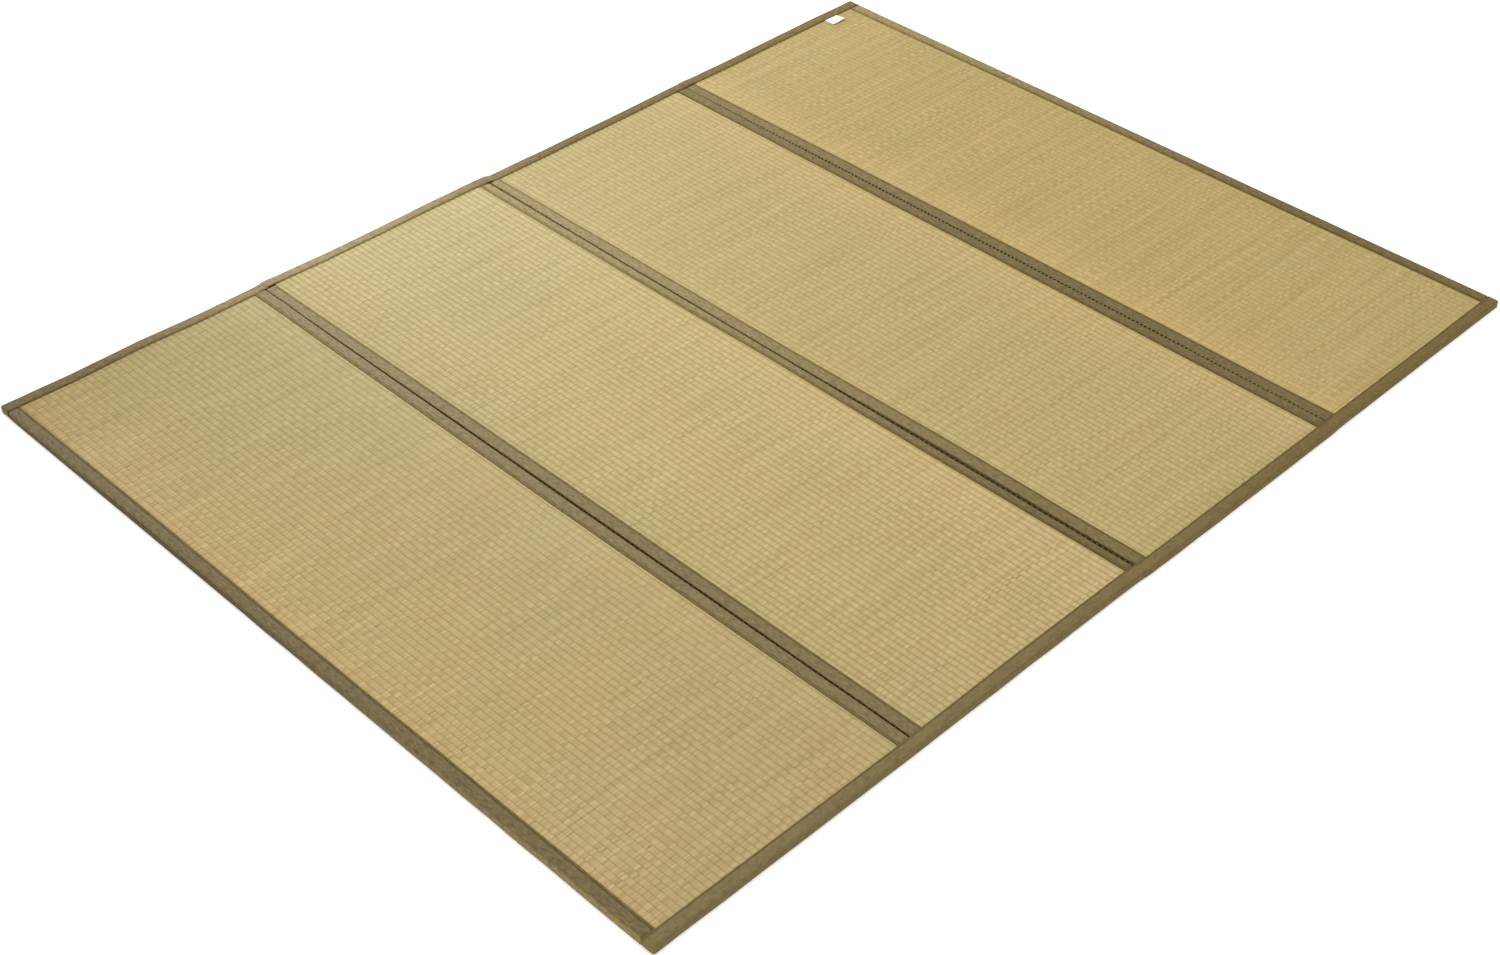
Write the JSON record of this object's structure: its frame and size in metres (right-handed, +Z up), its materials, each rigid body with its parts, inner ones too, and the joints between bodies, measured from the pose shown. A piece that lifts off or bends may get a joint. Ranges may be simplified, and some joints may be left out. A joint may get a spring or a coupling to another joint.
{
  "type": "folding rush floor mat",
  "caption": "Rectangular woven rush floor mat of panels side by side, each bound in cloth along its edges, lying open and flat on the floor to sit or sleep on.",
  "frame": {"origin": "on the floor under the middle of the mat", "axes": "+X across the panels, +Y along the panels towards the end with the label, +Z up"},
  "size_m": [2.1, 1.6114, 0.016],
  "materials": {
    "woven_rush": "straw to olive woven rush, satin, ridged in rows along the panels",
    "long_binding": "taupe plain woven cloth, matt",
    "end_binding": "olive brown plain woven cloth, matt",
    "label_cloth": "white satin woven ribbon, blank"
  },
  "bodies": {
    "root": {"rush_panel_1": "woven_rush", "rush_panel_2": "woven_rush", "rush_panel_3": "woven_rush", "rush_panel_4": "woven_rush", "binding_outer_left": "long_binding", "binding_fold_1_left": "long_binding", "binding_fold_1_right": "long_binding", "binding_fold_2_left": "long_binding", "binding_fold_2_right": "long_binding", "binding_fold_3_left": "long_binding", "binding_fold_3_right": "long_binding", "binding_outer_right": "long_binding", "binding_end_near": "end_binding", "binding_end_far": "end_binding", "blank_label": "label_cloth"}
  },
  "joints": []
}
